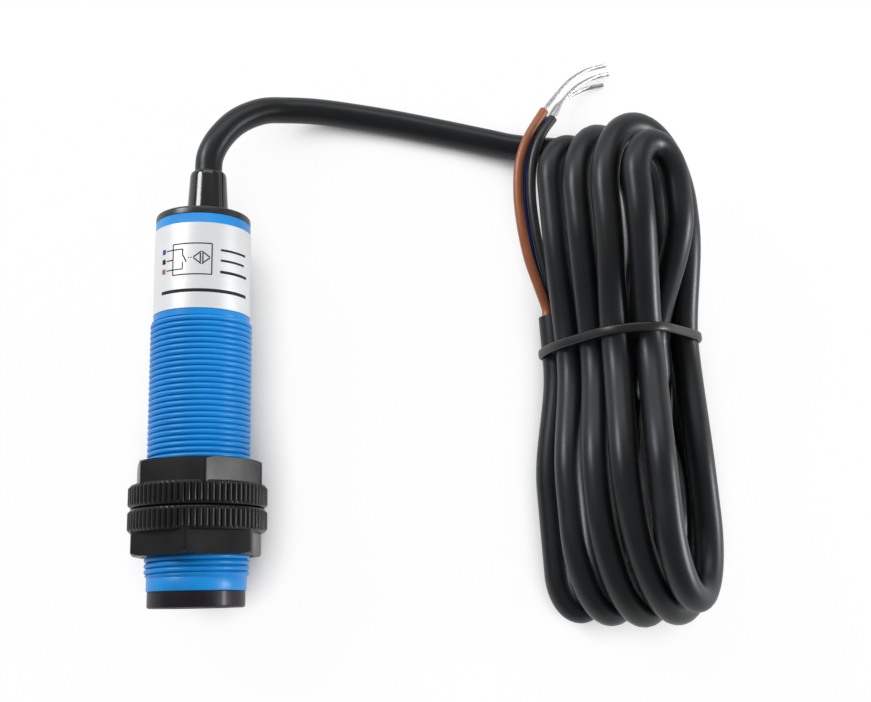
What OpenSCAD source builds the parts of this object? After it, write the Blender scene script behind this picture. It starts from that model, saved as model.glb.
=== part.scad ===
// Cylindrical photoelectric sensor, M18 threaded barrel with two flanged nuts and a tied hank of cable.
// It lies on a table: barrel axis along Y, front window towards -Y, cable end towards +Y, Z up, millimetres.

/* [Barrel] */
// major diameter of the barrel thread
thread_d = 18; // [16:0.5:22]
// thread pitch
thread_pitch = 1; // [0.75:0.25:1.5]
// length of the threaded stretch
thread_l = 45; // [30:1:60]
// depth of one thread groove
thread_depth = 0.5; // [0.3:0.05:0.7]
// smooth collar in front of the thread, diameter and length
collar_d = 17.1; // [15.5:0.1:17.5]
collar_l = 2.3; // [1.5:0.1:4]
// smooth sleeve behind the thread, diameter and length
sleeve_d = 17; // [15.5:0.1:17.5]
sleeve_l = 18.3; // [18:0.1:26]
// bore that holds the electronics
bore_d = 14; // [12.5:0.1:14.5]

/* [Front window] */
// dark window cap, diameter and thickness
rim_d = 16.7; // [15.5:0.1:17.2]
rim_l = 2.8; // [2:0.1:4]
// diameter of one of the two moulded lenses
lens_d = 5.6; // [4:0.1:5.8]
// distance between the two optical axes
lens_pitch = 6.2; // [5.9:0.1:6.6]

/* [Nuts] */
// length of one nut and of its knurled flange
nut_l = 8; // [6:0.1:10]
flange_l = 4; // [3:0.1:5]
// diameter over the knurl and number of its teeth
flange_d = 24; // [23:0.1:28]
flange_teeth = 72; // [48:2:90]
// width of the hexagon head across its flats
head_af = 20.6; // [19.8:0.1:20.7]
// thread left free in front of the front nut
nut_front_gap = 3.6; // [1:0.1:8]
// gap left between the two nuts
nut_gap = 0.2; // [0.1:0.1:2]
// turn of each head about the barrel
front_nut_turn = 29; // [-30:1:30]
rear_nut_turn = -14; // [-30:1:30]

/* [Label] */
// length of the foil label and its distance behind the thread
label_l = 15.5; // [8:0.1:16]
label_gap = 1; // [0.5:0.1:3]
// thickness of the foil
label_t = 0.1; // [0.05:0.05:0.3]

/* [Rear end] */
// rear cap, diameter and visible thickness
cap_d = 17; // [15.5:0.1:17.5]
cap_l = 1.4; // [1:0.1:3]
// tapered strain relief, length and two diameters
relief_l = 8.9; // [6:0.1:14]
relief_base_d = 7.6; // [6.8:0.1:7.8]
relief_tip_d = 6.6; // [6:0.1:7.2]
// sideways place of the cable exit
relief_off = 0.7; // [0.5:0.1:1]

/* [Circuit] */
// circuit board, length and thickness
board_l = 44; // [40:1:45]
board_t = 1.2; // [0.8:0.1:1.6]

/* [Cable] */
// outside diameter of the cable
cable_d = 5; // [4:0.1:5.2]
// diameter of an insulated lead and of its bare wire
lead_d = 1.8; // [1.2:0.1:1.9]
wire_d = 0.8; // [0.5:0.1:0.9]

/* [Hank] */
// place of the hank on the table, and its lean
hank_x = 62.8; // [55:0.1:75]
hank_y = 3.4; // [0:0.1:10]
hank_lean = 3; // [0:0.5:6]
// stretch over which the strands spread out from the tie
spread_l = 23; // [20:0.5:26]
// cable end above the tie
tail_l = 9; // [7:0.5:12]
// tie, width and thickness
tie_w = 1.7; // [1:0.1:3]
tie_t = 1; // [0.6:0.1:1.1]

/* [Hidden] */
$fn = 48;

// clearances: turning fit, sliding-in fit, and the gap round an electronic part
turn_fit = 0.05;
seat_fit = 0.05;

// stations along the barrel, counted from the front face towards the cable
collar_at = rim_l;
thread_at = collar_at + collar_l;
sleeve_at = thread_at + thread_l;
cap_at = sleeve_at + sleeve_l;
relief_at = cap_at + cap_l;
body_l = relief_at + relief_l;
front_nut_at = thread_at + nut_front_gap;
rear_nut_at = front_nut_at + nut_l + nut_gap;

// the barrel's axis lies as high as the nut flanges hold it, and the frame sits under the middle of the body
axis_z = flange_d / 2;
front_y = -body_l / 2;
rear_y = body_l / 2;

bore_r = bore_d / 2;
thread_turns = floor(thread_l / thread_pitch);
// turns in front of the front nut, with broad crests that guide the hole of a bracket
nose_turns = floor(nut_front_gap / thread_pitch);

// optics and board stations
spigot_l = 1.07 * rim_l;
holder_at = rim_l + spigot_l + 0.1;
holder_l = 11;
board_at = holder_at + holder_l + 0.5;
board_end = board_at + board_l;
board_w = bore_d - 0.4;
led_r = 2.5;
leg_t = 0.5;

// rear end: screw and lamp beside the cable exit
plug_l = 4;
plug_wall = 0.75;
neck_r = relief_tip_d / 2 - 0.1;
screw_u = -3.7;
screw_v = -2.5;
screw_r = 0.9;
rotor_r = 1.15;
lamp_v = 2.6;
cable_in = board_end + 1.4;

// tube sides and samples along the hank
cord_sides = 10;
hank_sides = 8;
lead_sides = 8;
run_steps = 7;
turn_steps = 10;

// everything on the barrel is drawn along +Z from the front face, then laid along +Y at axis height
module on_barrel(at = 0) {
    translate([0, front_y + at, axis_z]) rotate([-90, 0, 0]) children();
}

// one ridge of the thread: root, two ends of the crest land
function crest_land(i) = thread_pitch * (i < nose_turns ? 0.55 : 0.125);
function ridge(i) = let (w = thread_at + i * thread_pitch, r = thread_d / 2) [
    [r - thread_depth, w],
    [r, w + (thread_pitch - crest_land(i)) / 2],
    [r, w + (thread_pitch + crest_land(i)) / 2]];

module barrel() {
    thread = [for (i = [0 : thread_turns - 1]) each ridge(i)];
    color("#1E86CC") on_barrel() rotate_extrude($fn = 96) polygon(concat(
        [[bore_r, collar_at], [collar_d / 2 - 0.2, collar_at], [collar_d / 2, collar_at + 0.2],
         [collar_d / 2, thread_at - 0.1], [thread_d / 2 - thread_depth, thread_at - 0.1]],
        thread,
        [[thread_d / 2 - thread_depth, thread_at + thread_turns * thread_pitch],
         [sleeve_d / 2, sleeve_at + 0.2], [sleeve_d / 2, cap_at], [bore_r, cap_at]]));
}

// dark cap with a spigot in the bore and two lenses in its recessed face
module front_window() {
    recess = 0.21 * rim_l;
    dome_r = lens_d;
    color("#1B1418") on_barrel() {
        difference() {
            rotate_extrude($fn = 96) polygon([[0, 0], [rim_d / 2 - 0.5, 0], [rim_d / 2, 0.5],
                [rim_d / 2, rim_l], [bore_r - seat_fit, rim_l], [bore_r - seat_fit, rim_l + spigot_l],
                [0, rim_l + spigot_l]]);
            translate([0, 0, -1]) cylinder(r = bore_r - 0.4, h = 1 + recess);
            translate([-0.3, -bore_r, rim_l + 1]) cube([0.6, bore_d, 3]);
        }
        for (side = [-1, 1]) intersection() {
            translate([side * lens_pitch / 2, 0, dome_r + 0.1]) sphere(r = dome_r, $fn = 64);
            translate([side * lens_pitch / 2, 0, 0]) cylinder(r = lens_d / 2, h = recess + 0.3);
        }
    }
}

// black block behind the window: one tunnel for the lamp and one for the light sensor
module optics_holder() {
    color("#202124") on_barrel(holder_at) difference() {
        cylinder(r = bore_r - seat_fit, h = holder_l);
        for (side = [-1, 1]) translate([side * lens_pitch / 2, 0, -1])
            cylinder(r = led_r + seat_fit, h = holder_l + 2);
        for (side = [-1, 1]) translate([-1, side * bore_r - 0.5, -1]) cube([2, 1, holder_l + 2]);
    }
}

// five millimetre lamp or sensor with its two legs on the two faces of the board
module round_optic(side) {
    on_barrel(holder_at) translate([side * lens_pitch / 2, 0, 0]) {
        translate([0, 0, 4]) cylinder(r = led_r, h = holder_l - 4);
        translate([0, 0, 4]) intersection() {
            sphere(r = led_r);
            translate([0, 0, -led_r]) cylinder(r = led_r + 1, h = led_r + 0.5);
        }
        for (face = [-1, 1]) translate([-leg_t / 2, face * (board_t + leg_t) / 2 - leg_t / 2, holder_l - 0.5])
            cube([leg_t, leg_t, 5]);
    }
}

module emitter_led() { color("#5B4A6B") round_optic(-1); }

module receiver_diode() { color("#17181C") round_optic(1); }

// board across the middle of the bore; its rear end is narrowed to pass inside the plug of the cap
module circuit_board() {
    color("#1D6B3A") on_barrel() difference() {
        translate([-board_w / 2, -board_t / 2, board_at]) cube([board_w, board_t, board_l]);
        for (side = [-1, 1]) translate([side * board_w / 2 - 1, -board_t, board_end - 6])
            cube([2, 2 * board_t, 8]);
        translate([0, 0, board_at + 8.5]) rotate([90, 0, 0]) cylinder(r = 0.6, h = 4, center = true);
    }
}

// parts on the upper face of the board stand on this module's plane, with height along +Y of their own frame
module on_board(u, w, face = -1) {
    on_barrel() translate([u, face * board_t / 2, board_at + w]) rotate([face > 0 ? -90 : 90, 0, 0]) children();
}

module control_chip() {
    body = [4, 5, 1.5];
    color("#2A2B2E") on_board(0, 10.5) {
        translate([-body.x / 2, -body.y / 2, 0.1]) cube(body);
        for (side = [-1, 1], i = [0 : 3]) translate([side * (body.x / 2 + 0.3) - 0.5, i * 1.27 - 2.1, 0])
            cube([1, 0.4, 0.3]);
    }
}

module output_transistor() {
    color("#2A2B2E") on_board(-2.5, 18) {
        translate([-1.3, -1.5, 0.05]) cube([2.6, 3, 1.1]);
        for (i = [-1, 1]) translate([-1.9, i - 0.2, 0]) cube([1, 0.4, 0.3]);
        translate([0.9, -0.2, 0]) cube([1, 0.4, 0.3]);
    }
}

// electrolytic capacitor lying along the board on a flat rubber foot
module filter_capacitor() {
    r = 2.4;
    color("#20304F") on_board(2, 0.557 * board_l) {
        translate([0, 3.5, r + 0.2]) rotate([90, 0, 0]) rotate_extrude() polygon([[0, 0], [r - 0.3, 0],
            [r, 0.3], [r, 5.9], [r - 0.25, 6.2], [r, 6.5], [r, 7], [0, 7]]);
        translate([-1.2, -3, 0]) cube([2.4, 6, 0.8]);
    }
}

module chip_resistors() {
    chip = board_t * [1.35, 0.75, 0.4];
    color("#3A3A3C") for (i = [0 : 5]) on_board((i % 2 - 0.5) * 0.36 * board_w, (0.16 + 0.095 * i) * board_l, 1)
        translate([-chip.x / 2, -chip.y / 2, 0]) cube(chip);
}

module protection_diode() {
    color("#8F9296") on_board(0, 0.775 * board_l, 1) {
        translate([-1.3, -2.1, 0.1]) cube([2.6, 4.2, 2]);
        for (end = [-1, 1]) translate([-0.7, end * 2.2 - 0.5, 0]) cube([1.4, 1, 0.4]);
    }
}

// little adjuster on the board with a blind hole for its rotor
module trimmer_body() {
    color("#2F5E9E") on_barrel() difference() {
        translate([screw_u - 1.5, screw_v - 1.9, board_end - 4.5])
            cube([3, -screw_v + 1.9 - board_t / 2, 4]);
        translate([screw_u, screw_v, board_end - 2.5]) cylinder(r = rotor_r + turn_fit, h = 4);
    }
}

// rotor, shaft through the cap and a slotted end level with the cap
module trimmer_screw() {
    shaft_end = relief_at - 0.2;
    color("#C9A227") on_barrel() translate([screw_u, screw_v, 0]) difference() {
        rotate_extrude() polygon([[0, board_end - 2.3], [rotor_r, board_end - 2.3], [rotor_r, board_end + 0.2],
            [screw_r, board_end + 0.2], [screw_r, shaft_end], [0, shaft_end]]);
        translate([-0.2, -2, shaft_end - 0.5]) cube([0.4, 4, 2]);
    }
}

// lamp block under the board and its light pipe to the rear face
module indicator_led() {
    color("#E0852A") on_barrel() translate([screw_u, 0, 0]) {
        block = 2 * board_t;
        translate([-board_t, board_t / 2, board_end - plug_l]) cube([block, lamp_v + board_t / 2, block]);
        translate([0, lamp_v, board_end - plug_l / 2])
            cylinder(r = screw_r, h = relief_at + 0.1 - board_end + plug_l / 2);
    }
}

// disc with a plug in the bore; holes for the strain relief, the adjuster and the lamp
module rear_cap() {
    edge = min(0.5, cap_l / 3);
    color("#16171A") on_barrel() difference() {
        rotate_extrude($fn = 96) polygon([[bore_r - seat_fit - plug_wall, cap_at - plug_l],
            [bore_r - seat_fit, cap_at - plug_l], [bore_r - seat_fit, cap_at], [cap_d / 2, cap_at],
            [cap_d / 2, relief_at - edge], [cap_d / 2 - edge, relief_at], [0, relief_at], [0, cap_at],
            [bore_r - seat_fit - plug_wall, cap_at]]);
        translate([relief_off, 0, cap_at - 1]) cylinder(r = neck_r + seat_fit, h = cap_l + 2);
        for (v = [screw_v, lamp_v]) translate([screw_u, v, cap_at - 1])
            cylinder(r = screw_r + turn_fit, h = cap_l + 2);
    }
}

// tapered boot: inner flange, neck in the cap, taper outside, bore for the cable
module strain_relief() {
    base_r = relief_base_d / 2;
    tip_r = relief_tip_d / 2;
    hole_r = cable_d / 2 + 0.1;
    color("#1A1B1E") on_barrel() translate([relief_off, 0, 0]) rotate_extrude() polygon([
        [hole_r, cap_at - 1.3], [base_r, cap_at - 1.3], [base_r, cap_at - 0.05], [neck_r, cap_at - 0.05],
        [neck_r, relief_at + 0.05], [base_r, relief_at + 0.05], [tip_r, body_l - 0.7],
        [hole_r + 0.25, body_l], [hole_r, body_l]]);
}

// foil round the sleeve, open along a narrow seam under the barrel
module label() {
    seam = 12;
    color("#C9CDD0") on_barrel(sleeve_at + label_gap) rotate([0, 0, 90 + seam / 2])
        rotate_extrude(angle = 360 - seam, $fn = 96)
            translate([sleeve_d / 2, 0]) square([label_t, label_l]);
}

// straight knurl: alternate tips and roots round the flange
function knurl(r, teeth, depth) = [for (i = [0 : 2 * teeth - 1]) let (a = 180 * i / teeth)
    (i % 2 == 0 ? r : r - depth) * [cos(a), sin(a)]];

// a nut with its knurled flange from 0 and its hexagon head above it
module nut(turn) {
    r = flange_d / 2;
    corner_r = head_af / 2 / cos(30);
    soft = 0.6;
    difference() {
        union() {
            intersection() {
                linear_extrude(flange_l) polygon(knurl(r, flange_teeth, 0.35));
                rotate_extrude($fn = 96) polygon([[0, 0], [r - soft, 0], [r + 0.01, soft],
                    [r + 0.01, flange_l - soft], [r - soft, flange_l], [0, flange_l]]);
            }
            intersection() {
                rotate([0, 0, turn]) cylinder(r = corner_r, h = nut_l, $fn = 6);
                rotate_extrude($fn = 96) polygon([[0, 1], [corner_r + 1, 1], [corner_r + 1, nut_l - 1],
                    [corner_r - 1, nut_l], [0, nut_l]]);
            }
        }
        translate([0, 0, -1]) cylinder(r = thread_d / 2 + turn_fit, h = nut_l + 2, $fn = 96);
        for (end = [0, 1]) translate([0, 0, end * nut_l]) rotate([180 * end, 0, 0])
            translate([0, 0, -0.01]) cylinder(r1 = thread_d / 2 + 0.6, r2 = thread_d / 2, h = 0.6, $fn = 96);
    }
}

// the front nut carries its flange behind, the rear nut in front, so the two flanges face each other
module front_nut() {
    color("#232427") on_barrel(front_nut_at + nut_l) rotate([180, 0, 0]) nut(front_nut_turn);
}

module rear_nut() {
    color("#232427") on_barrel(rear_nut_at) nut(rear_nut_turn);
}

// three cores of the cable laid on the board, from the cable's end inside the body
module core_tails() {
    core_r = 0.6;
    color("#7A4A2B") on_barrel() for (i = [-1 : 1])
        translate([relief_off + 1.4 * i, -board_t / 2 - core_r, board_end - 8])
            cylinder(r = core_r, h = cable_in - board_end + 8, $fn = 24);
}

// smooth step from 0 to 1
function ease(t) = let (c = max(0, min(1, t))) c * c * (3 - 2 * c);

function unit(v) = v / norm(v);

// curve through hand-chosen points, with a few steps between each pair
function through(p, steps) = let (n = len(p) - 1) [
    for (i = [0 : n - 1]) let (a = p[max(i - 1, 0)], b = p[i], c = p[i + 1], d = p[min(i + 2, n)])
        for (k = [0 : steps - 1]) let (t = k / steps)
            (2 * b + (c - a) * t + (2 * a - 5 * b + 4 * c - d) * t * t
                + (3 * b - a - 3 * c + d) * t * t * t) / 2,
    p[n]];

// direction of a route at one of its points
function heading(p, i) = unit(p[min(i + 1, len(p) - 1)] - p[max(i - 1, 0)]);

// closed tube along a route: one ring of points at each place, its sides split into triangles
module tube(p, r, sides, side_on) {
    n = len(p);
    rings = [for (i = [0 : n - 1]) let (t = heading(p, i), a = unit(cross(t, side_on)), b = cross(a, t))
        for (k = [0 : sides - 1]) let (q = 360 * (k + 0.5) / sides) p[i] + r * (a * cos(q) + b * sin(q))];
    walls = [for (i = [0 : n - 2], k = [0 : sides - 1]) let (j = (k + 1) % sides, m = i * sides)
        each [[m + k, m + j, m + sides + j], [m + k, m + sides + j, m + sides + k]]];
    ends = [[for (k = [sides - 1 : -1 : 0]) k], [for (k = [0 : sides - 1]) (n - 1) * sides + k]];
    polyhedron(rings, concat(walls, ends), convexity = 10);
}

// the hank is laid out in its own frame: x across, y along, z up, with the tie near y = 0
function on_table(p) = [
    hank_x + p.x * cos(hank_lean) - p.y * sin(hank_lean),
    hank_y + p.x * sin(hank_lean) + p.y * cos(hank_lean), p.z];

// strands in the section of the bundle, in cable diameters: [across, up] below, at and above the tie
// upper strands from left to right
top_strands = [
    [[-0.35, 0.9], [0.3, 0.9], [0.3, 0.9]],
    [[0.15, 2.9], [0.7, 2], [0.55, 2.5]],
    [[0.95, 4.05], [1.45, 2.85], [1.3, 3.8]],
    [[1.8, 4.9], [2.1, 3.75], [2.15, 4.75]],
    [[2.95, 5.3], [3.25, 3.85], [3.2, 5.3]]];
// lower strands, in the order in which the cable takes them
low_strands = [
    [[1.1, 0.5], [1.75, 0.8], [2.3, 1.6]],
    [[2.5, 0.5], [2.95, 0.8], [3.8, 1.6]],
    [[3.8, 0.5], [3.75, 2.2], [4.75, 4.3]],
    [[4.8, 2.6], [4.9, 1.85], [5.3, 2.6]],
    [[5.1, 0.5], [4.3, 0.8], [4.65, 0.5]]];
// the cable's end is in the first upper strand; the fifth is wound before the fourth
winding = [0, 1, 2, 4, 3];
loops = len(winding);
// how far each loop reaches below and above the tie
reach_below = [44.4, 45.2, 45.8, 43.9, 45.8];
reach_above = [39.8, 40, 34.4, 39.9];
// an end turn is deeper than a half circle: how much below the tie, and above it
turn_stretch = [1.7, 1.5];
// where the lead-in joins the last lower strand
join_at = 27;

function strand_at(s, y) = let (c = cable_d * (s[1] + (s[0] - s[1]) * ease(-y / spread_l)
    + (s[2] - s[1]) * ease(y / spread_l))) [c.x, y, c.y];

function turn_depth(a, b, way) = turn_stretch[way < 0 ? 0 : 1] * cable_d * norm(a - b) / 2;

function run(s, from, to, steps) = [for (i = [0 : steps - 1]) strand_at(s, from + (to - from) * i / steps)];

// end turn from one strand to another, whose far side is at the given reach; way is -1 below and 1 above
function half_turn(a, b, reach, way, steps) = let (
    m = cable_d * (a + b) / 2, h = cable_d * (a - b) / 2, r = turn_depth(a, b, way))
    [for (i = [0 : steps - 1]) let (q = 180 * i / steps)
        [m.x + h.x * cos(q), way * (reach - r + r * sin(q)), m.y + h.y * cos(q)]];

// one unbroken route: down an upper strand, round, up a lower strand, round, and on to the next
function hank_route(runs, turns) = [
    for (k = [0 : loops - 1]) let (
        up = top_strands[winding[k]], low = low_strands[k], last = k == loops - 1,
        next = top_strands[winding[min(k + 1, loops - 1)]],
        start = k == 0 ? tail_l : reach_above[k - 1] - turn_depth(low_strands[k - 1][2], up[2], 1),
        below = turn_depth(up[0], low[0], -1) - reach_below[k],
        above = last ? join_at : reach_above[k] - turn_depth(low[2], next[2], 1))
        each concat(run(up, start, below, runs), half_turn(up[0], low[0], reach_below[k], -1, turns),
            run(low, below, above, runs), last ? [] : half_turn(low[2], next[2], reach_above[k], 1, turns)),
    strand_at(low_strands[loops - 1], join_at)];

// least gap of the hank to itself, between points more than three diameters apart along the cable
function least_gap(p) = let (
    far = 3 * cable_d,
    step = [for (i = [1 : len(p) - 1]) norm(p[i] - p[i - 1])],
    along = [for (i = 0, s = 0; i < len(p); s = s + (i < len(step) ? step[i] : 0), i = i + 1) s])
    min([for (i = [0 : len(p) - 1]) for (j = [i + 1 : 1 : len(p) - 1])
        if (along[j] - along[i] > far) norm(p[i] - p[j])]) - cable_d;

module cable_hank() {
    fine = hank_route(18, 18);
    echo(hank_least_gap_mm = least_gap(fine));
    color("#1C1D20") tube([for (p = hank_route(run_steps, turn_steps)) on_table(p)], cable_d / 2, hank_sides,
        on_table([0.8, 0, 0.6]) - on_table([0, 0, 0]));
}

// free stretch from inside the strain relief, down to the table and under the top of the hank
cable_exit = [relief_off, rear_y, axis_z];
rest_z = cable_d / 2;
lead_in_points = concat(
    [[relief_off, front_y + cable_in, axis_z], cable_exit - [0, 6, 0], cable_exit, cable_exit + [0.3, 3.6, 0],
     cable_exit + [2, 7.4, -0.6], cable_exit + [5, 11.2, -2.1], cable_exit + [9.2, 13.9, -4.1],
     [14.2, 54.3, 5.7], [19.6, 54.6, 4.1], [26, 54.1, 2.9], [35, 52.5, rest_z], [44, 50.4, rest_z],
     [53, 48.2, rest_z]],
    [for (p = [[-2.5, 43.8], [4.5, 42.6], [11.3, 42.1], [17.2, 41.1], [21.4, 38.6], [23.5, 34.6]])
        on_table([p.x, p.y, rest_z])],
    [for (d = [3.2, 0]) let (p = strand_at(low_strands[loops - 1], join_at)) on_table(p + [0, d, 0])]);

module cable_lead_in() {
    color("#1C1D20") tube(through(lead_in_points, 2), cable_d / 2, cord_sides, [0, 0, 1]);
}

// closed band round the bundle at the tie
tie_at = 2;
module bundle_section(grow) {
    hull() for (s = concat(top_strands, low_strands)) let (p = strand_at(s, tie_at))
        translate([p.x, p.z]) circle(r = cable_d / 2 + grow, $fn = 24);
}

module cable_tie() {
    color("#18191B") translate([hank_x, hank_y, 0]) rotate([0, 0, hank_lean])
        translate([0, tie_at + tie_w / 2, 0]) rotate([90, 0, 0]) linear_extrude(tie_w) difference() {
            bundle_section(0.2 + tie_t);
            bundle_section(0.2);
        }
}

// leads out of the cable's end: two points straight out of the end, then a bow to the left and over the cable
tail_end = strand_at(top_strands[0], tail_l);
function lead_points(u, w, rest) = [for (p = concat(
    [tail_end + [u, 0, w], tail_end + [u, lead_d, w]], rest)) on_table(p)];

brown_points = lead_points(-1, 0.7, [[-0.6, 14.5, 6.2], [-2.1, 20, 7.2], [-2.9, 26.5, 7.8], [-3, 32.5, 8.1],
    [-2.2, 38.5, 8.3], [-0.1, 43.5, 8.3], [3.5, 48.9, 7.4]]);
blue_points = lead_points(0, -1.1, [[0.3, 14.5, 4], [-0.8, 20, 5], [-1.6, 26.5, 5.8], [-1.7, 32.5, 6.2],
    [-0.9, 38.5, 6.4], [1.1, 43.5, 6.4], [4.2, 48, 5]]);
black_points = lead_points(1, 0.7, [[1.5, 14.5, 6], [0.3, 20, 7.1], [-0.4, 26.5, 7.8], [-0.5, 32.5, 8.1],
    [0.3, 38.5, 8.3], [2.3, 43.5, 8.3], [5, 47.3, 7]]);

// bare strands: out of the end of the lead and down to the table
brown_wire_points = wire_points(brown_points,
    [[6.2, 52.7, 5.2], [9.4, 56.2, 3.8], [13, 58.7, 2.4], [17.2, 60.1, 1.2]]);
blue_wire_points = wire_points(blue_points,
    [[6.6, 51.6, 3], [9.6, 54, 1.6], [13, 55.6, 0.9], [16.4, 56.2, 0.8]]);
black_wire_points = wire_points(black_points,
    [[7.2, 51.2, 5], [10.2, 54.6, 3.6], [13.8, 57, 2.2], [17.6, 58.2, 1.2]]);
function wire_points(lead, rest) = let (n = len(lead) - 1, t = heading(through(lead, 3), 3 * n))
    concat([lead[n], lead[n] + 1.2 * t], [for (p = rest) on_table(p)]);

module lead(p, tint) { color(tint) tube(through(p, 3), lead_d / 2, lead_sides, [0, 0, 1]); }

module wire(p) { color("#B9BDC2") tube(through(p, 3), wire_d / 2, lead_sides, [0, 0, 1]); }

module brown_lead() { lead(brown_points, "#9A4A22"); }
module blue_lead() { lead(blue_points, "#23357E"); }
module black_lead() { lead(black_points, "#1B1B1D"); }
module brown_wire() { wire(brown_wire_points); }
module blue_wire() { wire(blue_wire_points); }
module black_wire() { wire(black_wire_points); }

barrel();
front_window();
optics_holder();
emitter_led();
receiver_diode();
circuit_board();
control_chip();
output_transistor();
filter_capacitor();
chip_resistors();
protection_diode();
trimmer_body();
trimmer_screw();
indicator_led();
rear_cap();
strain_relief();
label();
front_nut();
rear_nut();
core_tails();
cable_lead_in();
cable_hank();
cable_tie();
brown_lead();
blue_lead();
black_lead();
brown_wire();
blue_wire();
black_wire();
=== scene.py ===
import math
import random

import bmesh
import bpy
from mathutils import Matrix, Vector


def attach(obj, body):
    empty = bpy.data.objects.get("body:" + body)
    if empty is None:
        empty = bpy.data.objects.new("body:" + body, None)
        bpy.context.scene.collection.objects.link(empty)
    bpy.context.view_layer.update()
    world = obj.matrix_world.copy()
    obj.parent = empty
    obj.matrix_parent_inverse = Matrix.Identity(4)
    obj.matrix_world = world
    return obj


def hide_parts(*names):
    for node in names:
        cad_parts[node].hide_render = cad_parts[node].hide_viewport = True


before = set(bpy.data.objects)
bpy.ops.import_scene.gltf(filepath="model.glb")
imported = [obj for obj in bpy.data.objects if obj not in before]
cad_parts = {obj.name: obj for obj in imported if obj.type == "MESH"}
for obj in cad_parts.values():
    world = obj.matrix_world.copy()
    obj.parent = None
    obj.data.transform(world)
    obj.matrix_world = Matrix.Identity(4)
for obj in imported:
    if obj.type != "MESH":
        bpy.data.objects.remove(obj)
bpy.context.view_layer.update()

# View: the sensor lies on a white table and is looked at from nearly straight above,
# a little from the side of its front window, with the picture turned by about a degree.
mm = 0.001
picture_width_px = 871
focal_length_px = 1230
film_width = 36
camera_place = (42.0 * mm, -41.67 * mm, 227.4 * mm)
view_tilt = math.radians(12.2)
view_roll = math.radians(-1.22)

bpy.ops.object.select_all(action="DESELECT")
bpy.ops.object.camera_add(location=camera_place)
camera = bpy.context.object
camera.name = "photo_camera"
camera_turn = Matrix.Rotation(view_tilt, 3, "X") @ Matrix.Rotation(view_roll, 3, "Z")
camera.rotation_euler = camera_turn.to_euler()
camera.data.sensor_fit = "HORIZONTAL"
camera.data.sensor_width = film_width
camera.data.lens = focal_length_px * film_width / picture_width_px
camera.data.clip_start = 10 * mm
bpy.context.scene.camera = camera
bpy.context.scene.view_settings.view_transform = "Standard"


# Barrel: one moulding in satin blue plastic, threaded M18x1 over most of its length,
# with a smooth collar in front, a smooth sleeve behind and a bore for the electronics.
axis_height = 12 * mm
front_face = -39.35 * mm
thread_r = 9.0 * mm
thread_depth = 0.5 * mm
root_r = thread_r - thread_depth
thread_pitch = 1.0 * mm
thread_start = 5.1 * mm
thread_end = 50.1 * mm
thread_sides = 96
outline_steps = 10
collar_front = 2.8 * mm
collar_r = 8.55 * mm
sleeve_r = 8.5 * mm
sleeve_end = 68.4 * mm
bore_r = 7.0 * mm
bore_seam = (30 * mm, 30.5 * mm)
weld = 0.002 * mm
cut_slack = 0.001 * mm


def start_clean():
    if bpy.context.mode != "OBJECT":
        bpy.ops.object.mode_set(mode="OBJECT")
    bpy.ops.object.select_all(action="DESELECT")


def take(piece):
    """Make one piece the active one and the only one selected."""
    start_clean()
    piece.select_set(True)
    bpy.context.view_layer.objects.active = piece


def settle():
    """Write the place, turn and scale of the active piece into its mesh."""
    bpy.ops.object.transform_apply(location=True, rotation=True, scale=True)


def select_points(piece, wanted):
    bpy.ops.mesh.select_mode(type="VERT")
    bpy.ops.mesh.select_all(action="DESELECT")
    mesh = bmesh.from_edit_mesh(piece.data)
    for point in mesh.verts:
        point.select = wanted(point.co)
    mesh.select_flush_mode()
    bmesh.update_edit_mesh(piece.data)


def from_axis(point):
    return math.hypot(point.x, point.z)


def extrude_rim(rings):
    """Carry the selected rim on from ring to ring, each given as its radius and its station."""
    for (radius, station), (next_radius, next_station) in zip(rings, rings[1:]):
        bpy.ops.mesh.extrude_region_move(
            TRANSFORM_OT_translate={"value": (0, next_station - station, 0)})
        if next_radius != radius:
            grow = next_radius / radius
            bpy.ops.transform.resize(value=(grow, 1, grow), center_override=(0, next_station, 0))


def close_up():
    """Turn all faces of the piece being edited outwards and leave edit mode."""
    bpy.ops.mesh.select_all(action="SELECT")
    bpy.ops.mesh.normals_make_consistent(inside=False)
    bpy.ops.object.mode_set(mode="OBJECT")


def seat_on_axis(piece, station=0.0, turned_round=False):
    """Lay a piece that was drawn from its own front along +Y on the barrel's axis at its station."""
    take(piece)
    piece.location = (0, front_face + station, axis_height)
    if turned_round:
        piece.rotation_euler = (math.pi, 0, 0)
    settle()


def smooth_by(piece, degrees):
    take(piece)
    bpy.ops.object.shade_smooth_by_angle(angle=math.radians(degrees))


def dress(piece, material, body, slot, *nodes):
    piece.data.materials.clear()
    piece.data.materials.append(material)
    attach(piece, body)
    if nodes:
        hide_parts(*nodes)


def new_finish(name):
    finish = bpy.data.materials.new(name)
    finish.use_nodes = True
    return finish, finish.node_tree.nodes, finish.node_tree.links


def add_node(nodes, kind, **values):
    """Add a node and set its properties and sockets, a socket's name with _ for each space."""
    node = nodes.new(kind)
    for key, value in values.items():
        if hasattr(node, key):
            setattr(node, key, value)
        else:
            node.inputs[key.replace("_", " ")].default_value = value
    return node


def tune(finish, **values):
    """Set sockets of a finish's surface, each name with _ for each space."""
    for key, value in values.items():
        finish.node_tree.nodes["Principled BSDF"].inputs[key.replace("_", " ")].default_value = value


def two_tints(nodes, dark, pale, positions=(0.0, 1.0)):
    """A ramp from one colour to another."""
    tint = add_node(nodes, "ShaderNodeValToRGB")
    for stop, colour, position in zip(tint.color_ramp.elements, (dark, pale), positions):
        stop.position = position
        stop.color = (*colour, 1)
    return tint


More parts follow.
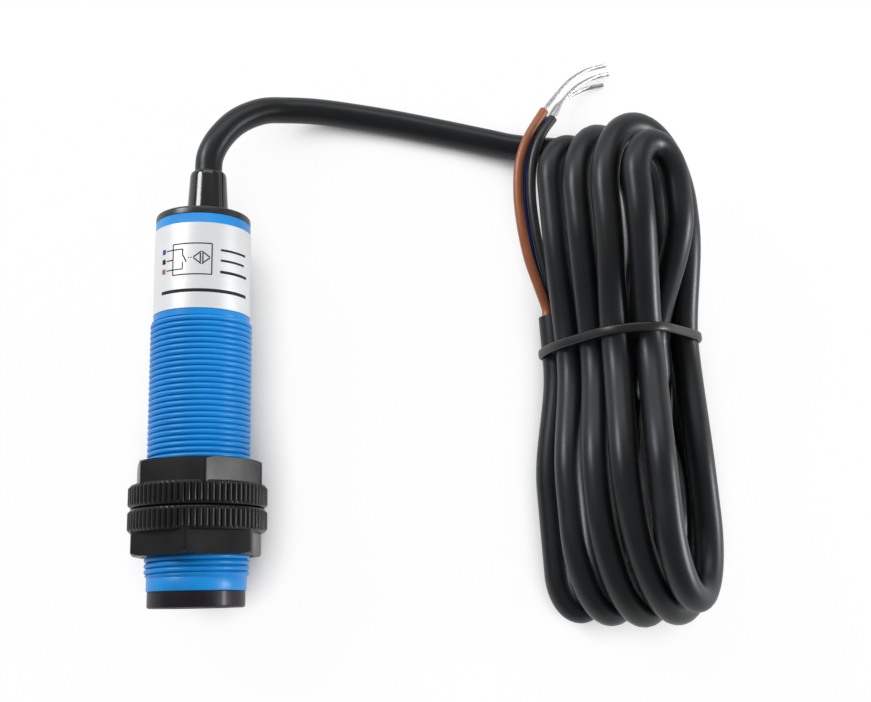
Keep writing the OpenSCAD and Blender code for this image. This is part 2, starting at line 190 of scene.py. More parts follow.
def moulded_plastic(name, colour, pale, roughness, grain=0.35, grain_scale=2600,
                    patch_scale=180, shine=0.5):
    """Moulded plastic: cloudy tint, uneven polish and the fine grain of the mould."""
    finish, nodes, links = new_finish(name)
    surface = nodes["Principled BSDF"]
    tune(finish, Specular_IOR_Level=shine)
    place = add_node(nodes, "ShaderNodeTexCoord")
    cloud = add_node(nodes, "ShaderNodeTexNoise", Scale=patch_scale, Detail=4.0, Roughness=0.55)
    links.new(place.outputs["Object"], cloud.inputs["Vector"])
    tint = two_tints(nodes, colour, pale, (0.3, 0.75))
    links.new(cloud.outputs["Fac"], tint.inputs["Fac"])
    links.new(tint.outputs["Color"], surface.inputs["Base Color"])
    polish = add_node(nodes, "ShaderNodeMapRange", From_Min=0.3, From_Max=0.7,
                      To_Min=roughness[0], To_Max=roughness[1])
    links.new(cloud.outputs["Fac"], polish.inputs["Value"])
    links.new(polish.outputs["Result"], surface.inputs["Roughness"])
    fine = add_node(nodes, "ShaderNodeTexNoise", Scale=grain_scale, Detail=3.0, Roughness=0.6)
    links.new(place.outputs["Object"], fine.inputs["Vector"])
    bump = add_node(nodes, "ShaderNodeBump", Strength=grain, Distance=0.02 * mm)
    links.new(fine.outputs["Fac"], bump.inputs["Height"])
    links.new(bump.outputs["Normal"], surface.inputs["Normal"])
    return finish


# The thread is one ridge, wound along the axis, cut square at both ends and let run out there.
start_clean()
bpy.ops.mesh.primitive_plane_add(size=thread_pitch)
barrel = bpy.context.object
barrel.name = "barrel_shell"
bpy.ops.object.mode_set(mode="EDIT")
bpy.ops.mesh.select_all(action="SELECT")
bpy.ops.mesh.merge(type="CENTER")
bpy.ops.transform.translate(value=(root_r, thread_start - thread_pitch, 0))
ridge = [thread_depth * math.sin(math.pi * i / outline_steps) ** 0.5 for i in range(outline_steps + 1)]
for i in range(outline_steps):
    bpy.ops.mesh.extrude_region_move(TRANSFORM_OT_translate={
        "value": (ridge[i + 1] - ridge[i], thread_pitch / outline_steps, 0)})
bpy.ops.object.mode_set(mode="OBJECT")
winding = barrel.modifiers.new("thread", "SCREW")
winding.axis = "Y"
winding.angle = math.tau
winding.screw_offset = thread_pitch
winding.iterations = round((thread_end - thread_start) / thread_pitch) + 2
winding.steps = winding.render_steps = thread_sides
winding.use_merge_vertices = False
bpy.ops.object.modifier_apply(modifier=winding.name)
bpy.ops.object.mode_set(mode="EDIT")
bpy.ops.mesh.select_all(action="SELECT")
bpy.ops.mesh.remove_doubles(threshold=weld)
for station, side in ((thread_start, "clear_inner"), (thread_end, "clear_outer")):
    bpy.ops.mesh.select_all(action="SELECT")
    bpy.ops.mesh.bisect(plane_co=(0, station, 0), plane_no=(0, 1, 0), threshold=cut_slack, **{side: True})
bpy.ops.object.mode_set(mode="OBJECT")
for point in barrel.data.vertices:
    run_out = min(point.co.y - thread_start, thread_end - point.co.y)
    limit = root_r + max(0, run_out)
    if from_axis(point.co) > limit:
        shrink = limit / from_axis(point.co)
        point.co.x *= shrink
        point.co.z *= shrink

# Collar and sleeve are drawn on from the ends of the thread and meet inside the bore.
bpy.ops.object.mode_set(mode="EDIT")
select_points(barrel, lambda p: abs(p.y - thread_start) < weld)
extrude_rim([(root_r, thread_start), (root_r, thread_start - 0.04 * mm),
             (collar_r - 0.02 * mm, thread_start - 0.1 * mm), (collar_r, thread_start - 0.14 * mm),
             (collar_r, collar_front + 0.22 * mm), (collar_r - 0.06 * mm, collar_front + 0.07 * mm),
             (collar_r - 0.2 * mm, collar_front), (bore_r, collar_front), (bore_r, bore_seam[0])])
select_points(barrel, lambda p: abs(p.y - thread_end) < weld)
extrude_rim([(root_r, thread_end), (sleeve_r, thread_end + 0.15 * mm), (sleeve_r, sleeve_end - 0.12 * mm),
             (sleeve_r - 0.1 * mm, sleeve_end), (bore_r, sleeve_end), (bore_r, bore_seam[1])])
select_points(barrel, lambda p: (from_axis(p) < bore_r + 0.01 * mm
                                 and bore_seam[0] - 0.1 * mm < p.y < bore_seam[1] + 0.1 * mm))
bpy.ops.mesh.select_mode(type="EDGE")
bpy.ops.mesh.bridge_edge_loops()
close_up()
seat_on_axis(barrel)
smooth_by(barrel, 40)
blue_plastic = moulded_plastic("satin_blue_plastic", (0.004, 0.216, 0.59), (0.0067, 0.245, 0.66),
                               (0.32, 0.42), shine=0.32)
dress(barrel, blue_plastic, "sensor", "blue_plastic", "barrel")


# Front window: a cap moulded in dark filter plastic that passes infrared light, pressed into
# the barrel, with two lenses side by side in its recessed face.
rim_r = 8.35 * mm
recess_r = 6.6 * mm
recess_depth = 0.6 * mm
plug_r = 6.95 * mm
window_end = 5.8 * mm
lens_apart = 6.2 * mm
lens_curve = 5.6 * mm
lens_front = 0.1 * mm
lens_root = 0.82 * mm


def start_turning(name, outline, sides, fill):
    """Draw the first circle of an outline and open it for editing."""
    start_clean()
    radius, station = outline[0]
    bpy.ops.mesh.primitive_circle_add(vertices=sides, radius=radius, location=(0, station, 0),
                                      rotation=(math.pi / 2, 0, 0), fill_type=fill)
    piece = bpy.context.object
    piece.name = name
    settle()
    bpy.ops.object.mode_set(mode="EDIT")
    return piece


def select_rims():
    bpy.ops.mesh.select_all(action="DESELECT")
    bpy.ops.mesh.select_mode(type="EDGE")
    bpy.ops.mesh.select_non_manifold()


def turn_ring(name, outline, sides=96):
    """Turn a closed outline of radius and station pairs into a ring, as on a lathe."""
    piece = start_turning(name, outline, sides, "NOTHING")
    bpy.ops.mesh.select_all(action="SELECT")
    extrude_rim(outline)
    select_rims()
    bpy.ops.mesh.bridge_edge_loops()
    close_up()
    return piece


def turn_solid(name, outline, sides=96):
    """Turn an open outline of radius and station pairs and close both of its ends with flat faces."""
    piece = start_turning(name, outline, sides, "NGON")
    select_rims()
    extrude_rim(outline)
    bpy.ops.mesh.edge_face_add()
    close_up()
    return piece


def cut_or_join(piece, other, operation):
    """Boolean one closed shape with another and throw the second one away."""
    take(piece)
    step = piece.modifiers.new("shape", "BOOLEAN")
    step.operation = operation
    step.object = other
    step.solver = "EXACT"
    bpy.ops.object.modifier_apply(modifier=step.name)
    bpy.data.objects.remove(other)


window = turn_solid("front_window_cap", [
    (recess_r - 0.1 * mm, recess_depth), (recess_r, recess_depth - 0.1 * mm), (recess_r, 0.1 * mm),
    (recess_r + 0.1 * mm, 0), (rim_r - 0.5 * mm, 0), (rim_r - 0.2 * mm, 0.07 * mm),
    (rim_r - 0.05 * mm, 0.22 * mm), (rim_r, 0.45 * mm), (rim_r, collar_front - 0.1 * mm),
    (rim_r - 0.08 * mm, collar_front), (plug_r, collar_front), (plug_r, window_end - 0.1 * mm),
    (plug_r - 0.15 * mm, window_end)])
for side in (-1, 1):
    start_clean()
    bpy.ops.mesh.primitive_uv_sphere_add(
        segments=64, ring_count=48, radius=lens_curve, rotation=(math.pi / 2, 0, 0),
        location=(side * lens_apart / 2, lens_curve + lens_front, 0))
    lens = bpy.context.object
    settle()
    bpy.ops.object.mode_set(mode="EDIT")
    bpy.ops.mesh.select_all(action="SELECT")
    bpy.ops.mesh.bisect(plane_co=(0, lens_root, 0), plane_no=(0, 1, 0), threshold=cut_slack,
                        use_fill=True, clear_outer=True)
    bpy.ops.object.mode_set(mode="OBJECT")
    cut_or_join(window, lens, "UNION")
seat_on_axis(window)
smooth_by(window, 30)
filter_plastic = moulded_plastic("dark_filter_plastic", (0.007, 0.0045, 0.007), (0.011, 0.007, 0.0105),
                                 (0.38, 0.48), grain=0.1, shine=0.22)
tune(filter_plastic, Coat_Weight=0.08, Coat_Roughness=0.08)
dress(window, filter_plastic, "sensor", "filter_plastic", "front_window")


# Optics: a matt black block behind the window with one tunnel for the infrared lamp and one
# for the light sensor, both ordinary epoxy parts of five millimetres on the edge of the board.
def dress_node(name, finish):
    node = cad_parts[name]
    node.data.materials.clear()
    node.data.materials.append(finish)


def clear_epoxy(name, colour, depth):
    """Cast epoxy: tinted, see-through and slightly streaky."""
    pale = tuple(min(1, c * 1.3) for c in colour)
    finish = moulded_plastic(name, colour, pale, (0.06, 0.14), grain=0.05)
    tune(finish, Transmission_Weight=depth, IOR=1.54)
    return finish


matt_black = moulded_plastic("matt_black_block", (0.012, 0.012, 0.013), (0.02, 0.02, 0.021), (0.55, 0.7))
dress_node("optics_holder", matt_black)
dress_node("emitter_led", clear_epoxy("violet_epoxy", (0.30, 0.22, 0.38), depth=0.7))
dress_node("receiver_diode", clear_epoxy("black_epoxy", (0.012, 0.011, 0.014), depth=0.2))


# Circuit board: green solder mask on fibreglass with tracks, carrying a control chip, an output
# transistor, a filter capacitor, chip resistors and a protection diode, all soldered on.
def solder_mask(name):
    """Green lacquer over tracks that stand out a little."""
    finish, nodes, links = new_finish(name)
    surface = nodes["Principled BSDF"]
    place = add_node(nodes, "ShaderNodeTexCoord")
    tracks = add_node(nodes, "ShaderNodeTexBrick", Scale=420.0, Mortar_Size=0.06, Brick_Width=1.6,
                      Row_Height=0.5, Color1=(0.006, 0.12, 0.04, 1), Color2=(0.008, 0.15, 0.05, 1),
                      Mortar=(0.02, 0.24, 0.09, 1))
    links.new(place.outputs["Object"], tracks.inputs["Vector"])
    links.new(tracks.outputs["Color"], surface.inputs["Base Color"])
    bump = add_node(nodes, "ShaderNodeBump", Strength=0.4, Distance=0.03 * mm)
    links.new(tracks.outputs["Fac"], bump.inputs["Height"])
    links.new(bump.outputs["Normal"], surface.inputs["Normal"])
    tune(finish, Roughness=0.35)
    return finish


chip_black = moulded_plastic("chip_moulding", (0.02, 0.02, 0.022), (0.03, 0.03, 0.032), (0.5, 0.65),
                             grain_scale=5000)
dress_node("circuit_board", solder_mask("green_solder_mask"))
dress_node("control_chip", chip_black)
dress_node("output_transistor", chip_black)
for node_name, finish_name, colour, pale, roughness in (
        ("filter_capacitor", "capacitor_sleeve", (0.012, 0.026, 0.075), (0.02, 0.04, 0.1), (0.25, 0.35)),
        ("chip_resistors", "resistor_body", (0.03, 0.03, 0.031), (0.06, 0.06, 0.062), (0.45, 0.6)),
        ("protection_diode", "diode_body", (0.25, 0.26, 0.28), (0.32, 0.33, 0.35), (0.4, 0.55))):
    dress_node(node_name, moulded_plastic(finish_name, colour, pale, roughness))


# Adjuster and lamp: a small trimmer on the board whose slotted brass screw ends in the rear
# face, and an amber light pipe beside it that shows when the output switches.
def bright_metal(name, dark, pale, roughness, scale, detail):
    """Bare metal with fine dark and pale patches."""
    finish, nodes, links = new_finish(name)
    place = add_node(nodes, "ShaderNodeTexCoord")
    patches = add_node(nodes, "ShaderNodeTexNoise", Scale=scale, Detail=detail)
    links.new(place.outputs["Object"], patches.inputs["Vector"])
    tint = two_tints(nodes, dark, pale)
    links.new(patches.outputs["Fac"], tint.inputs["Fac"])
    links.new(tint.outputs["Color"], nodes["Principled BSDF"].inputs["Base Color"])
    tune(finish, Metallic=1, Roughness=roughness)
    return finish


trimmer_blue = moulded_plastic("trimmer_blue", (0.02, 0.1, 0.33), (0.03, 0.13, 0.4), (0.35, 0.5))
brass = bright_metal("turned_brass", (0.52, 0.34, 0.09), (0.68, 0.48, 0.16), roughness=0.3,
                     scale=9000.0, detail=2.0)
dress_node("trimmer_body", trimmer_blue)
dress_node("trimmer_screw", brass)
dress_node("indicator_led", clear_epoxy("amber_light_pipe", (0.75, 0.24, 0.03), depth=0.5))


# Rear cap: a glossy black disc glued into the rear of the barrel by its plug, with holes for
# the strain relief, the adjuster screw and the light pipe.
cap_front = sleeve_end
cap_rear = 69.8 * mm
cap_r = 8.5 * mm
cap_plug_front = 64.4 * mm
plug_inner_r = 6.2 * mm
hollow_from = 64.0 * mm
holes_from = 67.0 * mm
holes_to = 71 * mm
relief_x = 0.7 * mm
relief_hole_r = 3.25 * mm
small_holes_x = -3.7 * mm
small_holes_z = (2.5 * mm, -2.6 * mm)
small_hole_r = 0.95 * mm
cap = turn_solid("rear_cap_disc", [
    (plug_inner_r, cap_plug_front), (plug_r, cap_plug_front), (plug_r, cap_front),
    (cap_r - 0.1 * mm, cap_front), (cap_r, cap_front + 0.1 * mm), (cap_r, cap_rear - 0.5 * mm),
    (cap_r - 0.04 * mm, cap_rear - 0.3 * mm), (cap_r - 0.15 * mm, cap_rear - 0.13 * mm),
    (cap_r - 0.33 * mm, cap_rear - 0.03 * mm), (cap_r - 0.5 * mm, cap_rear)])
for hole_x, hole_z, hole_r, hole_from, hole_to in (
        (0, 0, plug_inner_r, hollow_from, cap_front),
        (relief_x, 0, relief_hole_r, holes_from, holes_to),
        (small_holes_x, small_holes_z[0], small_hole_r, holes_from, holes_to),
        (small_holes_x, small_holes_z[1], small_hole_r, holes_from, holes_to)):
    drill = turn_solid("drill", [(hole_r, hole_from), (hole_r, hole_to)], sides=64)
    drill.location = (hole_x, 0, hole_z)
    cut_or_join(cap, drill, "DIFFERENCE")
seat_on_axis(cap)
smooth_by(cap, 30)
black_gloss = moulded_plastic("glossy_black_plastic", (0.010, 0.009, 0.009), (0.016, 0.014, 0.013),
                              (0.28, 0.38), grain=0.12)
dress(cap, black_gloss, "sensor", "cap_black", "rear_cap")


# Strain relief: a tapered boot of glossy black rubber, snapped into the cap by a neck
# between two shoulders, that keeps the cable from kinking where it leaves.
# Radius and station in millimetres, from the front of its bore round the outside to the rear.
inner_shoulder = ((2.6, 67.1), (3.7, 67.1), (3.8, 67.2), (3.8, 68.3), (3.7, 68.35))
neck = ((3.2, 68.35), (3.2, 69.85))
outer_shoulder = ((3.72, 69.85), (3.8, 69.95), (3.79, 70.4), (3.7, 71.5))
boot_end = ((3.34, 77.6), (3.3, 77.95), (3.22, 78.3), (3.05, 78.58), (2.85, 78.7), (2.62, 78.7),
            (2.6, 78.6))
relief_outline = inner_shoulder + neck + outer_shoulder + boot_end
relief = turn_ring("strain_relief_boot", [(r * mm, y * mm) for r, y in relief_outline], sides=64)
relief.location = (relief_x, 0, 0)
take(relief)
settle()
seat_on_axis(relief)
smooth_by(relief, 35)
relief_rubber = moulded_plastic("glossy_black_rubber", (0.009, 0.009, 0.010), (0.014, 0.014, 0.015),
                                (0.1, 0.16), grain=0.08)
dress(relief, relief_rubber, "sensor", "relief_black", "strain_relief")


# Label: a strip of satin silver foil wrapped round the sleeve with its seam underneath. The print
# is a plain wiring sign of the sensor and its switch, bars, and three dots in the leads' colours.
label_front = 51.1 * mm
label_l = 15.5 * mm
label_r = 8.6 * mm
label_t = 0.1 * mm
seam = math.radians(12)
half_round = label_r * (math.pi - seam / 2)
ink_t = 0.012 * mm
ink_sink = 0.03 * mm
# The print, in millimetres: round the barrel from its top, and along it from the label's front.
line = 0.22
box_left, box_right, box_low, box_high = -3.9, 3.2, 6.0, 11.6
wire_rows = (7.0, 8.8, 10.6)
dot_x = -6.1
dot_size = 0.9
mark_step = 0.4


def wrap(point, lift):
    """Bend a flat drawing round the sleeve: x runs round the barrel from its top, y along it."""
    turn = point.x / label_r
    return Vector(((label_r + lift) * math.sin(turn), point.y, (label_r + lift) * math.cos(turn)))


def thicken(piece, name, thickness, offset):
    """Give a sheet a wall, inwards of it or outwards."""
    take(piece)
    wall = piece.modifiers.new(name, "SOLIDIFY")
    wall.thickness = thickness
    wall.offset = offset
    bpy.ops.object.modifier_apply(modifier=wall.name)


start_clean()
bpy.ops.mesh.primitive_grid_add(x_subdivisions=168, y_subdivisions=8, size=1)
foil = bpy.context.object
foil.name = "label_foil"
foil.scale = (2 * half_round, label_l, 1)
foil.location = (0, label_front + label_l / 2, 0)
settle()
for point in foil.data.vertices:
    point.co = wrap(point.co, 0)
thicken(foil, "foil", label_t, offset=-1)

marks = []


def mark(x, y, width, height, tilt=0.0):
    """One printed stroke or bar, as a flat drawing: middle, size and tilt, in millimetres and degrees."""
    start_clean()
    steps = max(2, round(width / mark_step))
    bpy.ops.mesh.primitive_grid_add(x_subdivisions=steps, y_subdivisions=2, size=1)
    stroke = bpy.context.object
    stroke.scale = (width * mm, height * mm, 1)
    stroke.rotation_euler = (0, 0, math.radians(tilt))
    stroke.location = (x * mm, label_front + y * mm, 0)
    settle()
    marks.append(stroke)


# The wiring sign: the box and its three wires, the switch, and the two arrows of the light.
mark((box_left + box_right) / 2, box_low, box_right - box_left, line)
mark((box_left + box_right) / 2, box_high, box_right - box_left, line)
mark(box_left, (box_low + box_high) / 2, line, box_high - box_low)
mark(box_right, (box_low + box_high) / 2, line, box_high - box_low)
for wire_y in wire_rows:
    mark(-4.6, wire_y, 1.6, line)
mark(-2.9, 7.0, 1.8, line)
mark(-2.9, 10.6, 1.8, line)
mark(-2.0, 7.65, line, 1.3)
mark(-2.0, 10.0, line, 1.3)
mark(-1.6, 8.85, line, 1.35, 28)
for dash_x in (-0.9, -0.45):
    mark(dash_x, 9.0, 0.2, line)
for arrow_x, tilt in ((0.65, 38), (2.15, -38)):
    mark(arrow_x, 9.6, 1.75, line, tilt)
    mark(arrow_x, 8.4, 1.75, line, -tilt)
for bar_x in (1.18, 1.62):
    mark(bar_x, 9.0, line, 1.7)
# The bars beside it, and last the dots.
mark(2.2, 3.1, 17.5, 0.6)
mark(7.9, 6.6, 6.4, 0.5)
mark(7.5, 8.7, 5.4, 0.4)
mark(7.7, 10.6, 5.8, 0.4)
ink_count = len(marks)
for wire_y in wire_rows:
    mark(dot_x, wire_y, dot_size, dot_size)
for stroke in marks:
    for point in stroke.data.vertices:
        point.co = wrap(point.co, ink_t)
    thicken(stroke, "film", ink_t + ink_sink, offset=-1)


def satin_foil(name):
    """Silver polyester foil: faint brushing round the barrel and a soft uneven sheen."""
    finish, nodes, links = new_finish(name)
    surface = nodes["Principled BSDF"]
    place = add_node(nodes, "ShaderNodeTexCoord")
    stretch = add_node(nodes, "ShaderNodeMapping", Scale=(300, 9000, 300))
    links.new(place.outputs["Object"], stretch.inputs["Vector"])
    brushing = add_node(nodes, "ShaderNodeTexNoise", Scale=1.0, Detail=3.0)
    links.new(stretch.outputs["Vector"], brushing.inputs["Vector"])
    tint = two_tints(nodes, (0.62, 0.635, 0.645), (0.76, 0.77, 0.78))
    links.new(brushing.outputs["Fac"], tint.inputs["Fac"])
    links.new(tint.outputs["Color"], surface.inputs["Base Color"])
    polish = add_node(nodes, "ShaderNodeMapRange", From_Min=0.3, From_Max=0.7, To_Min=0.42, To_Max=0.52)
    links.new(brushing.outputs["Fac"], polish.inputs["Value"])
    links.new(polish.outputs["Result"], surface.inputs["Roughness"])
    tune(finish, Metallic=0.35)
    return finish


foil_finish = satin_foil("satin_silver_foil")
black_ink = moulded_plastic("black_ink", (0.012, 0.012, 0.013), (0.022, 0.022, 0.024), (0.62, 0.72),
                            grain=0.1, shine=0.2)
brown_ink = moulded_plastic("brown_ink", (0.25, 0.08, 0.03), (0.3, 0.1, 0.035), (0.4, 0.5), grain=0.1)
blue_ink = moulded_plastic("blue_ink", (0.01, 0.03, 0.25), (0.015, 0.04, 0.3), (0.4, 0.5), grain=0.1)
foil.data.materials.append(foil_finish)
for stroke, ink in zip(marks, [black_ink] * ink_count + [brown_ink, black_ink, blue_ink]):
    stroke.data.materials.append(ink)
take(foil)
for stroke in marks:
    stroke.select_set(True)
bpy.ops.object.join()
seat_on_axis(foil)
smooth_by(foil, 40)
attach(foil, "sensor")
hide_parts("label")


# Nuts: two like mouldings in dark plastic, each a knurled flange and a hexagon head, screwed on the
# barrel with the two flanges face to face so that they clamp a bracket between them.
flange_r = 12 * mm
flange_l = 4 * mm
flange_face_r = flange_r - 0.62 * mm
knurl_depth = 0.35 * mm
knurl_teeth = 72
points_per_tooth = 6
# Which points of a tooth stand how high, as a share of the knurl's depth.
tooth_shape = (((1, 5), 0.62), ((2, 4), 0.93), ((3,), 1.0))
nut_l = 8 * mm
head_flat = 20.6 * mm
head_from = flange_l - 0.3 * mm
head_edge = 0.22 * mm
nut_bore_r = 9.05 * mm
bore_mouth_r = 9.65 * mm
bore_mouth_l = 0.6 * mm
tap_end_r = 9.7 * mm
tap_past = 0.1 * mm
# The thread inside as grooves: radius and place along each turn, in millimetres.
groove_shape = ((9.06, 0.0), (9.3, 0.2), (9.34, 0.26), (9.3, 0.32))
groove_from = 0.75
groove_turns = 7
fine_weld = 0.0005 * mm
front_nut_station = 16.7 * mm
rear_nut_station = 16.9 * mm
front_head_turn = math.radians(1)
rear_head_turn = math.radians(-16)


def to_triangles():
    """Split all faces of the piece being edited into flat ones, which a boolean cuts cleanly."""
    bpy.ops.mesh.quads_convert_to_tris(quad_method="BEAUTY", ngon_method="BEAUTY")


def mould_nut(name, head_turn):
    """One nut, drawn from the free face of its flange along +Y."""
    floor_r = flange_r - knurl_depth
    sides = knurl_teeth * points_per_tooth
    flange = turn_solid(name, [
        (flange_face_r, 0), (floor_r - 0.08 * mm, 0.08 * mm), (floor_r, 0.22 * mm), (floor_r, 0.6 * mm),
        (floor_r, flange_l - 0.6 * mm), (floor_r, flange_l - 0.22 * mm),
        (floor_r - 0.08 * mm, flange_l - 0.08 * mm), (flange_face_r, flange_l)], sides=sides)
    bpy.ops.object.mode_set(mode="EDIT")
    for places, height in tooth_shape:
        def on_rib(p):
            tooth = math.atan2(p.z, p.x) / math.tau * sides
            return (round(tooth) % points_per_tooth in places and 0.5 * mm < p.y < flange_l - 0.5 * mm
                    and from_axis(p) > floor_r - 0.01 * mm)
        select_points(flange, on_rib)
        grow = (floor_r + knurl_depth * height) / floor_r
        bpy.ops.transform.resize(value=(grow, 1, grow), center_override=(0, 0, 0))
    bpy.ops.mesh.select_all(action="SELECT")
    to_triangles()
    bpy.ops.object.mode_set(mode="OBJECT")

    corner_r = head_flat / 2 / math.cos(math.radians(30))
    head = turn_solid("head", [(corner_r, head_from), (corner_r, nut_l)], sides=6)
    head.rotation_euler = (0, -head_turn, 0)
    take(head)
    settle()
    bpy.ops.object.mode_set(mode="EDIT")
    bpy.ops.mesh.select_mode(type="EDGE")
    mesh = bmesh.from_edit_mesh(head.data)
    for edge in mesh.edges:
        edge.select = abs(edge.verts[0].co.y - edge.verts[1].co.y) > 1 * mm
    bmesh.update_edit_mesh(head.data)
    bpy.ops.mesh.bevel(offset=head_edge, segments=3, affect="EDGES")
    bpy.ops.object.mode_set(mode="OBJECT")
    cone = turn_solid("cone", [
        (corner_r + 1 * mm, 0.5 * mm), (corner_r + 1 * mm, nut_l - 0.9 * mm),
        (corner_r + 0.02 * mm, nut_l - 0.7 * mm), (corner_r - 0.2 * mm, nut_l - 0.42 * mm),
        (corner_r - 0.6 * mm, nut_l - 0.18 * mm), (corner_r - 0.85 * mm, nut_l - 0.06 * mm),
        (corner_r - 1.05 * mm, nut_l)], sides=192)
    cut_or_join(head, cone, "INTERSECT")
    cut_or_join(flange, head, "UNION")

    grooves = [(radius * mm, (groove_from + turn + along) * mm) for turn in range(groove_turns)
               for radius, along in groove_shape]
    tap = turn_solid("tap", [
        (tap_end_r, -tap_past), (bore_mouth_r, 0), (nut_bore_r, bore_mouth_l), *grooves,
        (nut_bore_r, nut_l - bore_mouth_l), (bore_mouth_r, nut_l), (tap_end_r, nut_l + tap_past)])
    cut_or_join(flange, tap, "DIFFERENCE")
    take(flange)
    bpy.ops.object.mode_set(mode="EDIT")
    bpy.ops.mesh.select_mode(type="VERT")
    bpy.ops.mesh.select_all(action="SELECT")
    bpy.ops.mesh.remove_doubles(threshold=fine_weld)
    to_triangles()
    bpy.ops.object.mode_set(mode="OBJECT")
    return flange


nut_plastic = moulded_plastic("dark_nut_plastic", (0.005, 0.005, 0.0055), (0.008, 0.008, 0.0086),
                              (0.28, 0.38), grain=0.3, shine=0.27)
front_nut = mould_nut("front_nut_moulding", front_head_turn)
seat_on_axis(front_nut, station=front_nut_station, turned_round=True)
smooth_by(front_nut, 32)
dress(front_nut, nut_plastic, "front_nut", "nut_black", "front_nut")
rear_nut = mould_nut("rear_nut_moulding", rear_head_turn)
seat_on_axis(rear_nut, station=rear_nut_station)
smooth_by(rear_nut, 32)
dress(rear_nut, nut_plastic, "rear_nut", "nut_black", "rear_nut")


# Cable: one length of round black cable with a soft PVC jacket. It leaves the strain relief,
# bends down to the table, runs under the hank and is wound into five loops that end at the leads.
cable_d = 5.0
hank_x, hank_y = 62.8, 3.4
hank_lean = math.radians(3)
# Along the hank, from its tie: where the strands are fully spread, where the lead-in joins the last
# one and where the cable's own end lies. Its end turns are deeper than half circles by the stretch.
spread = 23.0
join_at = 27.0
tail = 9.0
turn_stretch = {-1: 1.7, 1: 1.5}
# Each strand's place below the tie, at it and above it, across and up, in cable widths.
top_strands = [((-0.35, 0.9), (0.3, 0.9), (0.3, 0.9)), ((0.15, 2.9), (0.7, 2), (0.55, 2.5)),
               ((0.95, 4.05), (1.45, 2.85), (1.3, 3.8)), ((1.8, 4.9), (2.1, 3.75), (2.15, 4.75)),
               ((2.95, 5.3), (3.25, 3.85), (3.2, 5.3))]
low_strands = [((1.1, 0.5), (1.75, 0.8), (2.3, 1.6)), ((2.5, 0.5), (2.95, 0.8), (3.8, 1.6)),
               ((3.8, 0.5), (3.75, 2.2), (4.75, 4.3)), ((4.8, 2.6), (4.9, 1.85), (5.3, 2.6)),
               ((5.1, 0.5), (4.3, 0.8), (4.65, 0.5))]
winding_order = (0, 1, 2, 4, 3)
reach_below = (44.4, 45.2, 45.8, 43.9, 45.8)
reach_above = (39.8, 40, 34.4, 39.9)
exit_point = Vector((0.7, 39.35, 12))
inside_relief = (Vector((0.7, 23.45, 12)), Vector((0.7, 33.35, 12)))
table_z = cable_d / 2


def ease(t):
    t = max(0.0, min(1.0, t))
    return t * t * (3 - 2 * t)


def on_table(p):
    """From the hank's own frame in millimetres to the table in metres."""
    x, y, z = p
    return Vector((hank_x + x * math.cos(hank_lean) - y * math.sin(hank_lean),
                   hank_y + x * math.sin(hank_lean) + y * math.cos(hank_lean), z)) * mm


def strand_at(strand, y):
    below, at, above = (Vector(s) for s in strand)
    c = cable_d * (at + (below - at) * ease(-y / spread) + (above - at) * ease(y / spread))
    return Vector((c.x, y, c.y))


def turn_depth(a, b, way):
    return turn_stretch[way] * cable_d * (Vector(a) - Vector(b)).length / 2


def half_turn(a, b, reach, way, steps=36):
    """The end of a loop from one strand to the next, as deep as its way below or above asks."""
    middle = cable_d * (Vector(a) + Vector(b)) / 2
    arm = cable_d * (Vector(a) - Vector(b)) / 2
    r = turn_depth(a, b, way)
    turns = (math.pi * i / steps for i in range(steps))
    return [Vector((middle.x + arm.x * math.cos(q), way * (reach - r + r * math.sin(q)),
                    middle.y + arm.y * math.cos(q))) for q in turns]


def run_along(strand, start, stop, steps=30):
    return [strand_at(strand, start + (stop - start) * i / steps) for i in range(steps)]


def through(points, steps):
    """A smooth curve through chosen points."""
    curve = []
    for i in range(len(points) - 1):
        a, b, c, d = points[max(i - 1, 0)], points[i], points[i + 1], points[min(i + 2, len(points) - 1)]
        for k in range(steps):
            t = k / steps
            curve.append((2 * b + (c - a) * t + (2 * a - 5 * b + 4 * c - d) * t * t
                          + (3 * b - a - 3 * c + d) * t * t * t) / 2)
    return curve + [points[-1]]


hank = []
for k, top in enumerate(winding_order):
    upper, lower = top_strands[top], low_strands[k]
    last = k == len(winding_order) - 1
    start = tail if k == 0 else reach_above[k - 1] - turn_depth(low_strands[k - 1][2], upper[2], 1)
    below = turn_depth(upper[0], lower[0], -1) - reach_below[k]
    hank += run_along(upper, start, below) + half_turn(upper[0], lower[0], reach_below[k], -1)
    if last:
        hank += run_along(lower, below, join_at) + [strand_at(lower, join_at)]
    else:
        following = top_strands[winding_order[k + 1]]
        above = reach_above[k] - turn_depth(lower[2], following[2], 1)
        hank += run_along(lower, below, above) + half_turn(lower[2], following[2], reach_above[k], 1)
hank = [on_table(p) for p in hank]

join = strand_at(low_strands[4], join_at)
lead_in = [*inside_relief, exit_point]
lead_in += [exit_point + Vector(bow) for bow in ((0.3, 3.6, 0), (2, 7.4, -0.6), (5, 11.2, -2.1),
                                                 (9.2, 13.9, -4.1))]
lead_in += [Vector(p) for p in ((14.2, 54.3, 5.7), (19.6, 54.6, 4.1), (26, 54.1, 2.9), (35, 52.5, table_z),
                                (44, 50.4, table_z), (53, 48.2, table_z))]
lead_in = [p * mm for p in lead_in]
lead_in += [on_table((x, y, table_z)) for x, y in ((-2.5, 43.8), (4.5, 42.6), (11.3, 42.1), (17.2, 41.1),
                                                   (21.4, 38.6), (23.5, 34.6))]
lead_in += [on_table(join + Vector((0, ahead, 0))) for ahead in (3.2, 0)]
cable_path = through(lead_in, steps=6)[:-1] + hank[::-1]


